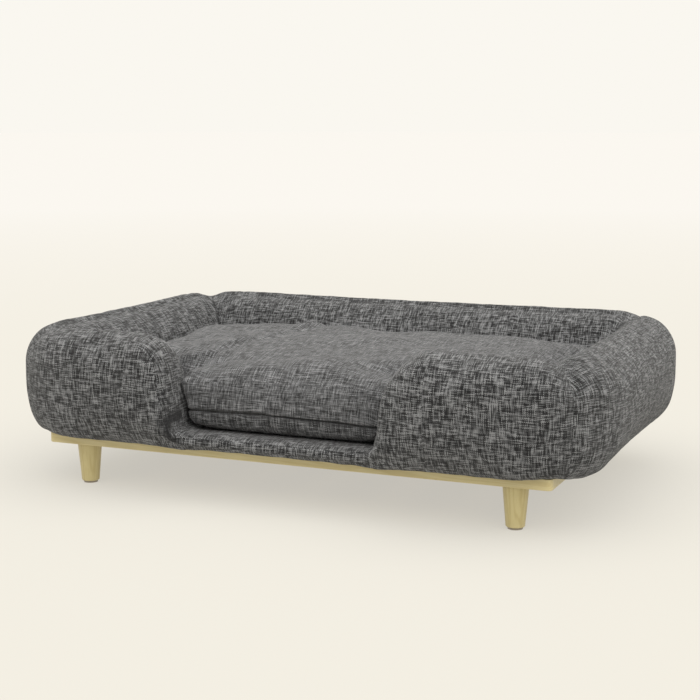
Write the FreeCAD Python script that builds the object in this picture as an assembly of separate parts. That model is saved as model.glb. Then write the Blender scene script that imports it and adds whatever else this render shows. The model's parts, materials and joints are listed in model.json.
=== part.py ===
"""Raised dog bed: a low wooden frame on four turned legs, a stuffed bolster bed and a loose cushion.

Millimetres. +Z is up, +X runs along the bed, the entrance faces -Y, and the origin lies on the floor
under the middle of the bed. Each separate piece is written to parts/NAME.step.
"""

import FreeCAD, Part
import math
import os

V = FreeCAD.Vector
UP = V(0, 0, 1)

# ---- overall sizes ----
LENGTH = 960.0               # over the bolsters, along X
DEPTH = 660.0                # over the bolsters, along Y
HEIGHT = 240.0               # floor to the top of the bolsters
UNDERSIDE = 80.0             # floor to the underside of the bolsters, which is the top of the frame

# ---- bolster wall: its section, seen along the wall; "in" is measured inwards from the outer face ----
CORNER_R = 140.0             # outer corner of the wall, in plan
WALL = 118.0                 # thickest part of the wall
RIDGE_IN = 78.0              # inner edge of the top; the opening between these edges is about 800 x 500
SHOULDER_DROP = 60.0         # how far below the top the inner slope ends
OUTER_TOP_R = 52.0
OUTER_FOOT_R = 35.0
INNER_TOP_R = 25.0
SHOULDER_R = 40.0
INNER_FOOT_R = 14.0
SEAM_IN = 56.0               # the top seam, where the outer and inner panels are sewn together
FOOT_SEAM_IN = 70.0          # the same seam under the wall
COVER = 2.0                  # cover fabric with its lining
CORNER_WALL = 0.5            # sewn divider between two stuffings at a mitred corner, half its thickness

# ---- entrance between the two front bolsters ----
ENTRANCE_HALF = 152.0        # half the width at the foot of the entrance
ENTRANCE_LEAN = 34.0         # how much further out the end of a front bolster is at the top
ENTRANCE_TOP_R = 46.0
LIP_HEIGHT = 24.0
LIP_IN = 22.0                # front of the lip, in from the outer face
LIP_DEPTH = 65.0
LIP_R = 9.0

# ---- base of the bed, inside the wall ----
GRIP = 1.2                   # one half of a hook-and-loop strip
BASE_FABRIC = 1.5
BASE_FOAM = 9.6
GRIP_LENGTH, GRIP_WIDTH = 240.0, 40.0

# ---- cushion ----
CUSHION_GAP = 1.0            # between the cushion and the wall
CUSHION_THICKNESS = 105.0    # at the middle; the edges are rounded down to about 80
CUSHION_TOP_R = 34.0
CUSHION_FOOT_R = 20.0
CUSHION_CORNER_R = 45.0
CUSHION_SEAM = 25.0          # seam above the cushion's underside
CUSHION_COVER = 1.5
TONGUE_GAP = 3.0             # between the cushion's tongue and the lip
TONGUE_DROP = 17.0           # top of the tongue below the top of the cushion
TONGUE_SIDE_GAP = 3.0        # between the tongue and the foot of each front bolster's end
TONGUE_CORNER_R = 22.0
TONGUE_TOP_R = 19.0
TONGUE_FOOT_R = 16.0
OVERHANG = 42.0              # how far the upper part of the tongue reaches out over the lip
OVERHANG_GAP = 2.0           # between it and the top of the lip
OVERHANG_FOOT_R = 8.0

# ---- frame ----
FRAME_IN_X = 75.0            # end of the frame, in from the outer face of the bolsters
FRAME_IN_Y = 52.0            # front and back of the frame, in from the outer face of the bolsters
RAIL_WIDTH = 60.0
RAIL_THICKNESS = 16.0
RAIL_CORNER_R = 8.0
RAIL_EDGE_R = 1.5
SLAT_COUNT = 5
SLAT_WIDTH = 70.0
SLAT_THICKNESS = 8.0
SLAT_LAP = 18.0              # how far a slat reaches onto each long rail
SLAT_GAP = 0.5               # play round a slat in its rebate
DOWEL_R, DOWEL_LENGTH = 4.0, 40.0
DOWEL_INSET = 15.0           # dowel from each edge of an end rail
SCREW_R, SCREW_HEAD_R, SCREW_LENGTH = 1.6, 3.4, 13.5
SCREW_INSET = 18.0           # slat screw from each long edge of a slat
SCREW_HEAD_DEPTH = 2.0

# ---- legs ----
LEG_TOP_R = 19.0
LEG_FOOT_R = 13.5
LEG_FOOT_ROUND = 2.0
LEG_INSET_X = 58.0           # leg's axis in from the end of the frame
LEG_INSET_Y = 26.0           # leg's axis in from the front or back of the frame
GLIDE_THICKNESS = 3.0
GLIDE_INSET = 1.5            # glide's edge in from the leg's foot
BOLT_R = 4.0                 # hanger bolt
BOLT_IN_LEG = 36.0
BOLT_IN_RAIL = 13.0
TEE_BARREL_R = 5.2
TEE_FLANGE_R = 10.0
TEE_FLANGE = 1.6
TEE_BARREL = 11.0

# ---- zips ----
ZIP_HALF = 300.0             # half the length of the bolster's zip tape
ZIP_HEIGHT = 22.0            # its middle above the underside
ZIP_WIDTH = 14.0             # width of a tape, and height of the slot that it sits in
ZIP_TAIL = 22.0              # tape past each end of the coil, which leaves room for the tab
ZIP_FLOOR_IN = 12.0          # face of the tape, in from the outer face
TAPE = 1.2
COIL_WIDTH, COIL_PROUD = 3.0, 2.4
ZIP_END = 3.0                # metal stop at each end of the coil
SLIDER_LENGTH, SLIDER_HEIGHT, SLIDER_DEPTH = 11.0, 8.0, 5.3
SLIDER_CLEAR = 0.3
SLIDER_END_GAP = 2.0         # slider to the end of the coil, when shut and when open
HINGE_PIN_R = 0.8
HINGE_CLEAR = 0.06
TAB_LENGTH, TAB_WIDTH, TAB_THICKNESS = 24.0, 5.4, 1.6
TAB_EYE_R = 1.5
TAB_EAR = 1.0                # thickness of each ear that holds the tab's pin
EAR_RIM = 0.6                # ear beyond the pin
CUSHION_ZIP_HALF = 250.0
CUSHION_ZIP_DEEP = 8.0       # face of the cushion's tape, in from its back

# ---- places worked out from the sizes ----
FRAME_LENGTH, FRAME_DEPTH = LENGTH - 2 * FRAME_IN_X, DEPTH - 2 * FRAME_IN_Y
HALF_X, HALF_Y = LENGTH / 2, DEPTH / 2
TOP = HEIGHT
CENTRE_X, CENTRE_Y = HALF_X - CORNER_R, HALF_Y - CORNER_R     # the wall's corner centres
WELL_X, WELL_Y = HALF_X - WALL, HALF_Y - WALL                 # inner faces of the wall
BASE_Z = UNDERSIDE + 2 * GRIP
FOAM_Z = BASE_Z + BASE_FABRIC
FLOOR_Z = FOAM_Z + BASE_FOAM
CUSHION_Z = FLOOR_Z + BASE_FABRIC
LIP_FRONT = -HALF_Y + LIP_IN
LIP_BACK = LIP_FRONT + LIP_DEPTH
RAIL_Z = UNDERSIDE - RAIL_THICKNESS
LEG_X = FRAME_LENGTH / 2 - LEG_INSET_X
LEG_Y = FRAME_DEPTH / 2 - LEG_INSET_Y
RAIL_INNER_Y = FRAME_DEPTH / 2 - RAIL_WIDTH
BAY_HALF = FRAME_LENGTH / 2 - RAIL_WIDTH                      # inner edges of the end rails
CORNERS = {"front_left": (-1, -1), "front_right": (1, -1), "back_left": (-1, 1), "back_right": (1, 1)}


def rounded_wire(points):
    """Closed wire through (vector, radius) corners, with a tangent arc at each corner that has one."""
    edges, count, start, last = [], len(points), None, None
    for i, (corner, radius) in enumerate(points):
        before, after = points[i - 1][0], points[(i + 1) % count][0]
        to_before, to_after = (before - corner).normalize(), (after - corner).normalize()
        if radius > 0:
            turn = to_before.getAngle(to_after)
            back = radius / math.tan(turn / 2)
            first, second = corner + to_before * back, corner + to_after * back
            towards = (to_before + to_after).normalize()
            middle = corner + towards * (radius / math.sin(turn / 2) - radius)
        else:
            first = second = corner
        if last is not None and (first - last).Length > 1e-6:
            edges.append(Part.LineSegment(last, first).toShape())
        if radius > 0:
            edges.append(Part.Arc(first, middle, second).toShape())
        start, last = start or first, second
    if (start - last).Length > 1e-6:
        edges.append(Part.LineSegment(last, start).toShape())
    return Part.Wire(edges)


def plate(points, z, thickness):
    """Flat plate from (x, y, radius) corners."""
    wire = rounded_wire([(V(x, y, z), r) for x, y, r in points])
    return Part.Face(wire).extrude(V(0, 0, thickness))


def block(x0, x1, y0, y1, z0, z1):
    return Part.makeBox(x1 - x0, y1 - y0, z1 - z0, V(x0, y0, z0))


def rod(radius, start, length, direction=UP):
    return Part.makeCylinder(radius, length, start, direction)


def write(name, shape):
    """One sub-part; a list is a group of separate solids."""
    solids = shape if isinstance(shape, list) else [shape]
    solids = [s for one in solids for s in one.Solids]
    out = solids[0] if len(solids) == 1 else Part.makeCompound(solids)
    if not solids or not all(solid.isValid() and solid.Volume > 0 for solid in solids):
        raise ValueError(name + " isn't a valid solid")
    out.exportStep("parts/" + name + ".step")
    print(f"{name:26s} {len(solids)} solid(s) {sum(s.Volume for s in solids) / 1000:9.2f} cm3")


# ---------------------------------------------------------------- bolster wall

def wall_face(inset):
    """Section of the wall, taken in by inset. x is measured from the corner centre's axis."""
    corners = [
        (inset, UNDERSIDE + inset, OUTER_FOOT_R),
        (inset, TOP - inset, OUTER_TOP_R),
        (RIDGE_IN - inset / 2, TOP - inset, INNER_TOP_R),
        (WALL - inset, TOP - SHOULDER_DROP, SHOULDER_R),
        (WALL - inset, UNDERSIDE + inset, INNER_FOOT_R),
    ]
    points = [(V(s - CORNER_R, 0, z), max(r - inset, 2.0)) for s, z, r in corners]
    return Part.Face(rounded_wire(points))


def cover_faces():
    """Sections of the outer and the inner cover panel, parted at the top seam and at the foot seam."""
    skin = wall_face(0).cut(wall_face(COVER))
    seam_line = [(SEAM_IN, TOP + 1), (SEAM_IN, UNDERSIDE + 20), (FOOT_SEAM_IN, UNDERSIDE + 20),
                 (FOOT_SEAM_IN, UNDERSIDE - 1)]
    outside = [(-1, UNDERSIDE - 1), (-1, TOP + 1)] + seam_line
    half = Part.Face(Part.makePolygon([V(s - CORNER_R, 0, z) for s, z in outside + outside[:1]]))
    return skin.common(half), skin.cut(half)


def run(face, length, start_turn, end_turn, gap=0.0):
    """Wall section swept along local +Y for length, with half a corner where a turn is asked for."""
    pieces = []
    half_corner = 45.0
    if start_turn:
        pieces.append(face.revolve(V(0, 0, 0), UP, half_corner))
    pieces.append(face.extrude(V(0, length, 0)))
    if end_turn:
        far = face.copy()
        far.translate(V(0, length, 0))
        pieces.append(far.revolve(V(0, length, 0), UP, -half_corner))
    solid = pieces[0].fuse(pieces[1:]).removeSplitter() if len(pieces) > 1 else pieces[0]
    if gap:
        reach = 2 * WALL + CORNER_R
        for at, turn, wanted in ((0, 45, start_turn), (length, -45, end_turn)):
            if wanted:
                cutter = Part.makeBox(reach, 2 * gap, 2 * HEIGHT, V(-reach, -gap, 0))
                cutter.rotate(V(0, 0, 0), UP, turn)
                cutter.translate(V(0, at, 0))
                solid = solid.cut(cutter)
    return solid.Solids[0] if len(solid.Solids) == 1 else max(solid.Solids, key=lambda s: s.Volume)


def place(solid, turn, x, y):
    moved = solid.copy()
    moved.rotate(V(0, 0, 0), UP, turn)
    moved.translate(V(x, y, 0))
    return moved


def wing_block(side, inset):
    """Space that a front bolster may fill, seen from the front: its end leans outwards and is rounded."""
    run, rise = ENTRANCE_LEAN, TOP - UNDERSIDE
    shift = inset * math.hypot(run, rise) / rise              # an inset square to the leaning end
    radius = ENTRANCE_TOP_R - inset
    foot, far, margin = ENTRANCE_HALF + shift, HALF_X + 10, 10.0
    high = TOP - inset
    head = foot + run * (high - UNDERSIDE) / rise
    toe = foot - run * margin / rise
    arc_end = head + radius * math.tan((math.pi / 2 - math.atan2(run, rise)) / 2)
    corners = [(toe, UNDERSIDE - margin, 0), (head, high, radius), (arc_end + 1, high, 0),
               (arc_end + 1, UNDERSIDE - margin, 0)]
    wire = rounded_wire([(V(side * x, -HALF_Y - margin, z), r) for x, z, r in corners])
    rounded_end = Part.Face(wire).extrude(V(0, HALF_Y, 0))
    x0, x1 = sorted((side * arc_end, side * far))
    rest = block(x0, x1, -HALF_Y - margin, -margin, UNDERSIDE - margin, TOP + margin)
    return rounded_end.fuse(rest).removeSplitter()


def wall_sections(face, gap=0.0, end_inset=0.0):
    """The five sections of the wall made from one section face."""
    side_run, back_run = DEPTH - 2 * CORNER_R, LENGTH - 2 * CORNER_R
    wing_run = CENTRE_X - ENTRANCE_HALF + 20
    side = run(face, side_run, True, True, gap)
    back = run(face, back_run, True, True, gap)
    right = run(face, wing_run, True, False, gap)
    left = run(face, wing_run, False, True, gap)
    return {
        "left": place(side, 0, -CENTRE_X, -CENTRE_Y),
        "back": place(back, -90, -CENTRE_X, CENTRE_Y),
        "right": place(side, 180, CENTRE_X, CENTRE_Y),
        "front_right": place(right, 90, CENTRE_X, -CENTRE_Y).common(wing_block(1, end_inset)),
        "front_left": place(left, 90, -CENTRE_X + wing_run, -CENTRE_Y).common(wing_block(-1, end_inset)),
    }


def zip_slot():
    """Slot along the back bolster that the zip sits in, from outside the wall to behind the tape."""
    middle = UNDERSIDE + ZIP_HEIGHT
    floor = HALF_Y - ZIP_FLOOR_IN - TAPE
    return block(-ZIP_HALF, ZIP_HALF, floor, HALF_Y + 5, middle - ZIP_WIDTH / 2, middle + ZIP_WIDTH / 2)


def make_bolsters():
    outer_face, inner_face = cover_faces()
    stuffing = wall_sections(wall_face(COVER), gap=CORNER_WALL, end_inset=COVER)
    outer = wall_sections(outer_face, end_inset=COVER)
    inner = wall_sections(inner_face, end_inset=COVER)
    whole = wall_sections(wall_face(0))
    for name, solid in stuffing.items():
        if name == "back":
            solid = solid.cut(zip_slot())
            outer[name] = outer[name].cut(zip_slot())
        write(name + "_bolster_stuffing", solid)
        write(name + "_outer_panel", outer[name])
        write(name + "_inner_panel", inner[name])
    for side, name in ((-1, "left"), (1, "right")):
        end = whole["front_" + name].cut(wing_block(side, COVER))
        write("entrance_end_panel_" + name, end)


# ---------------------------------------------------------------- entrance lip and base

def lip_solid(inset):
    """Low padded sleeve across the entrance, taken in by inset all round but not at its ends."""
    corners = [
        (LIP_FRONT + inset, UNDERSIDE + inset),
        (LIP_FRONT + inset, UNDERSIDE + LIP_HEIGHT - inset),
        (LIP_BACK - inset, UNDERSIDE + LIP_HEIGHT - inset),
        (LIP_BACK - inset, UNDERSIDE + inset),
    ]
    reach = ENTRANCE_HALF + ENTRANCE_LEAN
    wire = rounded_wire([(V(-reach, y, z), LIP_R - inset) for y, z in corners])
    sleeve = Part.Face(wire).extrude(V(2 * reach, 0, 0))
    return sleeve.cut(wing_block(-1, 0)).cut(wing_block(1, 0))


def make_lip():
    write("entrance_lip_stuffing", lip_solid(COVER))
    write("entrance_lip_cover", lip_solid(0).cut(lip_solid(COVER)))


def well_plate(z, thickness):
    """Plate that fills the well between the bolsters, with a tongue that reaches the lip."""
    corner = CORNER_R - WALL
    return plate([
        (-WELL_X, -WELL_Y, corner), (-ENTRANCE_HALF, -WELL_Y, 0), (-ENTRANCE_HALF, LIP_BACK, 0),
        (ENTRANCE_HALF, LIP_BACK, 0), (ENTRANCE_HALF, -WELL_Y, 0), (WELL_X, -WELL_Y, corner),
        (WELL_X, WELL_Y, corner), (-WELL_X, WELL_Y, corner)], z, thickness)


def grip_strips(z):
    """Strips on the two end slats and the middle one, at the given height."""
    pitch = slat_pitch()
    return [block(x - GRIP_WIDTH / 2, x + GRIP_WIDTH / 2, -GRIP_LENGTH / 2, GRIP_LENGTH / 2, z, z + GRIP)
            for x in (-pitch * (SLAT_COUNT // 2), 0.0, pitch * (SLAT_COUNT // 2))]


def make_base():
    write("base_underside_fabric", well_plate(BASE_Z, BASE_FABRIC))
    write("base_foam", well_plate(FOAM_Z, BASE_FOAM))
    write("well_floor_fabric", well_plate(FLOOR_Z, BASE_FABRIC))
    write("grip_strips_on_slats", grip_strips(UNDERSIDE))
    write("grip_strips_on_bed", grip_strips(UNDERSIDE + GRIP))


# ---------------------------------------------------------------- zips

def zip_parts(half, face, middle):
    """Tape, coil, end stops, slider and the slider's start, for a zip along X whose face looks to +Y."""
    def bar(x0, x1, low, high, width):
        return block(x0, x1, face + low, face + high, middle - width / 2, middle + width / 2)

    coil_end = half - ZIP_TAIL
    tape = bar(-half, half, -TAPE, 0, ZIP_WIDTH)
    coil = bar(-coil_end, coil_end, 0, COIL_PROUD, COIL_WIDTH)
    stops = [bar(x, x + ZIP_END, 0, COIL_PROUD + 0.6, COIL_WIDTH + 2) for x in (-coil_end - ZIP_END, coil_end)]
    start = -coil_end + SLIDER_END_GAP
    slider = bar(start, start + SLIDER_LENGTH, SLIDER_CLEAR, SLIDER_CLEAR + SLIDER_DEPTH, SLIDER_HEIGHT)
    channel = bar(start, start + SLIDER_LENGTH, 0, COIL_PROUD + SLIDER_CLEAR, COIL_WIDTH + 2 * SLIDER_CLEAR)
    travel = 2 * coil_end - SLIDER_LENGTH - 2 * SLIDER_END_GAP
    print(f"zip at y {face:.2f}, z {middle:.2f}: slider travel {travel:.1f}")
    return tape, coil, stops, slider.cut(channel), start


def make_bolster_zip():
    middle = UNDERSIDE + ZIP_HEIGHT
    face = HALF_Y - ZIP_FLOOR_IN
    tape, coil, stops, slider, start = zip_parts(ZIP_HALF, face, middle)
    write("bolster_zip_tape", tape)
    write("bolster_zip_coil", coil)
    write("bolster_zip_stops", stops)
    front = face + SLIDER_CLEAR + SLIDER_DEPTH
    pin_x, pin_y = start + SLIDER_LENGTH / 2, front + TAB_EYE_R + SLIDER_CLEAR
    half = SLIDER_HEIGHT / 2
    for z in (middle - half, middle + half - TAB_EAR):
        slider = slider.fuse(block(pin_x - TAB_EYE_R, pin_x + TAB_EYE_R, front,
                                   pin_y + HINGE_PIN_R + EAR_RIM, z, z + TAB_EAR))
    slider = slider.fuse(rod(HINGE_PIN_R, V(pin_x, pin_y, middle - half), SLIDER_HEIGHT))
    write("bolster_zip_slider", slider.removeSplitter())
    eye = rod(TAB_EYE_R, V(pin_x, pin_y, middle - TAB_WIDTH / 2), TAB_WIDTH)
    strap = block(pin_x, pin_x + TAB_LENGTH, pin_y - TAB_THICKNESS / 2, pin_y + TAB_THICKNESS / 2,
                  middle - TAB_WIDTH / 2, middle + TAB_WIDTH / 2)
    hole = rod(HINGE_PIN_R + HINGE_CLEAR, V(pin_x, pin_y, middle - TAB_WIDTH), 2 * TAB_WIDTH)
    write("bolster_zip_tab", eye.fuse(strap).cut(hole).removeSplitter())
    print(f"tab's pin at ({pin_x:.2f}, {pin_y:.2f})")


# ---------------------------------------------------------------- cushion

def soft_block(x, y0, y1, z0, z1, corner, top_r, foot_r):
    """Block across X with rounded upright corners and rounded top and bottom edges."""
    solid = plate([(-x, y0, corner), (x, y0, corner), (x, y1, corner), (-x, y1, corner)], z0, z1 - z0)
    flat = [e for e in solid.Edges if e.BoundBox.ZLength < 0.01]
    top = [e for e in flat if abs(e.BoundBox.ZMin - z1) < 0.01]
    foot = [e for e in flat if abs(e.BoundBox.ZMin - z0) < 0.01]
    return solid.makeFillet(top_r, top).makeFillet(foot_r, foot)


def cushion_solid(inset):
    """Cushion taken in by inset: the part that fills the well, and a lower tongue that overhangs the lip."""
    x, y = WELL_X - CUSHION_GAP - inset, WELL_Y - CUSHION_GAP - inset
    z0, z1 = CUSHION_Z + inset, CUSHION_Z + CUSHION_THICKNESS - inset
    main = soft_block(x, -y, y, z0, z1, CUSHION_CORNER_R - inset, CUSHION_TOP_R - inset,
                      CUSHION_FOOT_R - inset)
    tongue = soft_block(ENTRANCE_HALF - TONGUE_SIDE_GAP - inset, LIP_BACK + TONGUE_GAP + inset, 0,
                        z0, z1 - TONGUE_DROP, TONGUE_CORNER_R - inset, TONGUE_TOP_R - inset,
                        TONGUE_FOOT_R - inset)
    lift = LIP_HEIGHT + OVERHANG_GAP
    half = ENTRANCE_HALF + ENTRANCE_LEAN * lift / (HEIGHT - UNDERSIDE) - TONGUE_SIDE_GAP
    overhang = soft_block(half - inset, LIP_BACK - OVERHANG + inset, 0, UNDERSIDE + lift + inset,
                          z1 - TONGUE_DROP, TONGUE_CORNER_R - inset, TONGUE_TOP_R - inset,
                          OVERHANG_FOOT_R - inset)
    return main.fuse([tongue, overhang]).removeSplitter()


def make_cushion():
    seam = CUSHION_Z + CUSHION_SEAM
    skin = cushion_solid(0).cut(cushion_solid(CUSHION_COVER))
    back = WELL_Y - CUSHION_GAP
    face = back - CUSHION_ZIP_DEEP
    slot = block(-CUSHION_ZIP_HALF, CUSHION_ZIP_HALF, face - TAPE, back + 5,
                 seam - ZIP_WIDTH / 2, seam + ZIP_WIDTH / 2)
    upper = block(-HALF_X, HALF_X, -HALF_Y, HALF_Y, seam, 2 * HEIGHT)
    write("cushion_filling", cushion_solid(CUSHION_COVER).cut(slot))
    write("cushion_top_cover", skin.common(upper).cut(slot))
    write("cushion_bottom_cover", skin.cut(upper).cut(slot))
    tape, coil, stops, slider, _ = zip_parts(CUSHION_ZIP_HALF, face, seam)
    write("cushion_zip_tape", tape)
    write("cushion_zip_coil", coil)
    write("cushion_zip_stops", stops)
    write("cushion_zip_slider", slider)


# ---------------------------------------------------------------- frame

def slat_pitch():
    """Spacing of the slats, with equal gaps between them and the end rails."""
    gap = (2 * BAY_HALF - SLAT_COUNT * SLAT_WIDTH) / (SLAT_COUNT + 1)
    return SLAT_WIDTH + gap


def slat_places():
    return [(i - (SLAT_COUNT - 1) / 2) * slat_pitch() for i in range(SLAT_COUNT)]


def dowel_starts():
    """Start of each dowel that joins an end rail to a long rail."""
    xs = (BAY_HALF + DOWEL_INSET, FRAME_LENGTH / 2 - DOWEL_INSET)
    ys = (RAIL_INNER_Y - DOWEL_LENGTH / 2, -RAIL_INNER_Y - DOWEL_LENGTH / 2)
    return [V(side * x, y, RAIL_Z + RAIL_THICKNESS / 2) for side in (-1, 1) for x in xs for y in ys]


def dowels():
    return [rod(DOWEL_R, start, DOWEL_LENGTH, V(0, 1, 0)) for start in dowel_starts()]


def slat_screws():
    """Countersunk screws, two at each end of each slat, flush with the slat's top."""
    screws = []
    shank_top = UNDERSIDE - SCREW_HEAD_DEPTH
    for x in slat_places():
        for dx in (-SLAT_WIDTH / 2 + SCREW_INSET, SLAT_WIDTH / 2 - SCREW_INSET):
            for side in (-1, 1):
                y = side * (RAIL_INNER_Y + SLAT_LAP / 2)
                shank = rod(SCREW_R, V(x + dx, y, UNDERSIDE - SCREW_LENGTH), SCREW_LENGTH - SCREW_HEAD_DEPTH)
                head = Part.makeCone(SCREW_R, SCREW_HEAD_R, SCREW_HEAD_DEPTH, V(x + dx, y, shank_top))
                screws.append(shank.fuse(head))
    return screws


def tee_nuts():
    """Flanged tee nuts let into the top of the long rails over the legs."""
    nuts = []
    for sx, sy in CORNERS.values():
        at = V(sx * LEG_X, sy * LEG_Y, 0)
        flange = rod(TEE_FLANGE_R, at + UP * (UNDERSIDE - TEE_FLANGE), TEE_FLANGE)
        barrel = rod(TEE_BARREL_R, at + UP * (UNDERSIDE - TEE_BARREL), TEE_BARREL)
        nuts.append(flange.fuse(barrel).removeSplitter().cut(rod(BOLT_R, at, HEIGHT)))
    return nuts


def hanger_bolts():
    return [rod(BOLT_R, V(sx * LEG_X, sy * LEG_Y, RAIL_Z - BOLT_IN_LEG), BOLT_IN_LEG + BOLT_IN_RAIL)
            for sx, sy in CORNERS.values()]


def bolt_holes():
    """Holes for the hanger bolts, from inside each leg to the top of the rail over it."""
    return [rod(BOLT_R, V(sx * LEG_X, sy * LEG_Y, RAIL_Z - BOLT_IN_LEG), BOLT_IN_LEG + RAIL_THICKNESS)
            for sx, sy in CORNERS.values()]


def long_rail(side):
    """Front or back rail: rebated for the slats, bored for the dowels, tee nuts and hanger bolts."""
    inner, outer = side * RAIL_INNER_Y, side * FRAME_DEPTH / 2
    y0, y1 = sorted((inner, outer))
    end = FRAME_LENGTH / 2
    low_r, high_r = (RAIL_CORNER_R, 0) if side < 0 else (0, RAIL_CORNER_R)
    rail = plate([(-end, y0, low_r), (end, y0, low_r), (end, y1, high_r), (-end, y1, high_r)],
                 RAIL_Z, RAIL_THICKNESS)
    lower_edges = [e for e in rail.Edges if e.BoundBox.ZMax < RAIL_Z + 0.01
                   and abs(e.CenterOfMass.y) > RAIL_INNER_Y + 0.01]
    rail = rail.makeFillet(RAIL_EDGE_R, lower_edges)
    lap = side * (RAIL_INNER_Y + SLAT_LAP + SLAT_GAP)
    for x in slat_places():
        half = SLAT_WIDTH / 2 + SLAT_GAP
        rail = rail.cut(block(x - half, x + half, min(inner, lap), max(inner, lap),
                              UNDERSIDE - SLAT_THICKNESS, UNDERSIDE + 1))
    for tool in dowels() + slat_screws() + tee_nuts() + bolt_holes():
        rail = rail.cut(tool)
    return rail


def end_rail(side):
    outer = side * FRAME_LENGTH / 2
    x0, x1 = sorted((side * BAY_HALF, outer))
    rail = block(x0, x1, -RAIL_INNER_Y, RAIL_INNER_Y, RAIL_Z, UNDERSIDE)
    lower_edge = [e for e in rail.Edges if abs(e.CenterOfMass.z - RAIL_Z) < 0.01
                  and abs(e.CenterOfMass.x - outer) < 0.01]
    rail = rail.makeFillet(RAIL_EDGE_R, lower_edge)
    for tool in dowels():
        rail = rail.cut(tool)
    return rail


def slat(x):
    reach = RAIL_INNER_Y + SLAT_LAP
    board = block(x - SLAT_WIDTH / 2, x + SLAT_WIDTH / 2, -reach, reach, UNDERSIDE - SLAT_THICKNESS, UNDERSIDE)
    for screw in slat_screws():
        board = board.cut(screw)
    return board


def leg(sx, sy):
    """Turned taper, rounded at the foot, with a blind hole for its hanger bolt."""
    foot_z = GLIDE_THICKNESS
    body = Part.makeCone(LEG_FOOT_R, LEG_TOP_R, RAIL_Z - foot_z, V(sx * LEG_X, sy * LEG_Y, foot_z))
    foot = [e for e in body.Edges if e.BoundBox.ZLength < 0.01 and abs(e.BoundBox.ZMin - foot_z) < 0.01]
    body = body.makeFillet(LEG_FOOT_ROUND, foot)
    for hole in bolt_holes():
        body = body.cut(hole)
    return body


def make_frame():
    write("front_rail", long_rail(-1))
    write("back_rail", long_rail(1))
    write("left_end_rail", end_rail(-1))
    write("right_end_rail", end_rail(1))
    for number, x in enumerate(slat_places(), 1):
        write(f"slat_{number}", slat(x))
    write("frame_dowels", dowels())
    write("slat_screws", slat_screws())
    write("leg_tee_nuts", tee_nuts())
    write("leg_hanger_bolts", hanger_bolts())
    for name, (sx, sy) in CORNERS.items():
        write("leg_" + name, leg(sx, sy))
        glide_r = LEG_FOOT_R - LEG_FOOT_ROUND - GLIDE_INSET / 2
        write("felt_glide_" + name, rod(glide_r, V(sx * LEG_X, sy * LEG_Y, 0), GLIDE_THICKNESS))


os.makedirs("parts", exist_ok=True)
make_frame()
make_bolsters()
make_lip()
make_base()
make_bolster_zip()
make_cushion()
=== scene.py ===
import json
import math

import bpy
import numpy as np
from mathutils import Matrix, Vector

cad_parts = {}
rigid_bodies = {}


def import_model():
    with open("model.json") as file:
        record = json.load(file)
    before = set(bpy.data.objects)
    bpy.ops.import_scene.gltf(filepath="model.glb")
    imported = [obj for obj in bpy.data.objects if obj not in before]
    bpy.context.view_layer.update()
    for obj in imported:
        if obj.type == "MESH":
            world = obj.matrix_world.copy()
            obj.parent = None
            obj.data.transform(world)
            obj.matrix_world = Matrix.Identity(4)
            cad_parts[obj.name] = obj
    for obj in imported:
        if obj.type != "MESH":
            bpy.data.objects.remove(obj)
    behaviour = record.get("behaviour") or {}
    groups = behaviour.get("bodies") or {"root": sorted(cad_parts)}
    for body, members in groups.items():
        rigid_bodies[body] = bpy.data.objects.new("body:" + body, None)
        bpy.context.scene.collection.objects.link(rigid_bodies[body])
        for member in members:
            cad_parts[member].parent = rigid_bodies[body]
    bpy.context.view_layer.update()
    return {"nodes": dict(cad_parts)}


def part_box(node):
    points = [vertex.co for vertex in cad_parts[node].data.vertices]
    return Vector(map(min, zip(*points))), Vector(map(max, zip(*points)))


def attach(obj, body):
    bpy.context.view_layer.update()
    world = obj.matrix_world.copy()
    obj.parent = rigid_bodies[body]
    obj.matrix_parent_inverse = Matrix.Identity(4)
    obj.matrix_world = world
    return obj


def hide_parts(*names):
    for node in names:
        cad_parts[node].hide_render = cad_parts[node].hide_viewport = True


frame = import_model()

nodes = frame["nodes"]


# ---------------------------------------------------------------- rails and legs
# The rails are planed softwood boards, doweled together, and the legs are turned from the same wood.
# Both have a clear satin lacquer. The grain runs along each board and down each leg.

class Tone:
    """One output in a material's nodes. Python's operators on it add Math nodes; node() adds any other."""

    def __init__(self, tree, socket=None):
        self.tree, self.socket = tree, socket

    def node(self, kind, settings=None, inputs=None, output=0):
        """A new node's output, given its type, its settings, and the values or links of its sockets."""
        made = self.tree.nodes.new("ShaderNode" + kind)
        for name, value in (settings or {}).items():
            if name == "stops":
                ramp = made.color_ramp
                while len(ramp.elements) < len(value):
                    ramp.elements.new(0.5)
                for stop, (place, tint) in zip(ramp.elements, value):
                    stop.position, stop.color = place, (*tint, 1)
            else:
                setattr(made, name, value)
        for name, value in (inputs or {}).items():
            if isinstance(value, Tone):
                self.tree.links.new(value.socket, made.inputs[name])
            else:
                made.inputs[name].default_value = value
        return Tone(self.tree, made.outputs[output])

    def math(self, operation, *others):
        return self.node("Math", {"operation": operation}, dict(enumerate((self, *others))))

    def __add__(self, other):
        return self.math("ADD", other)

    def __sub__(self, other):
        return self.math("SUBTRACT", other)

    def __rsub__(self, other):
        return self.node("Math", {"operation": "SUBTRACT"}, {0: other, 1: self})

    def __mul__(self, other):
        return self.math("MULTIPLY", other)

    def __truediv__(self, other):
        return self.math("DIVIDE", other)

    def __pow__(self, other):
        return self.math("POWER", other)

    __radd__, __rmul__ = __add__, __mul__

    def clamped(self, low, high):
        return self.math("MAXIMUM", low).math("MINIMUM", high)

    def mixed(self, first, second):
        """Colour between first, where this is 0, and second, where it is 1."""
        return self.node("Mix", {"data_type": "RGBA"}, {0: self, 6: first, 7: second}, 2)


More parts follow.
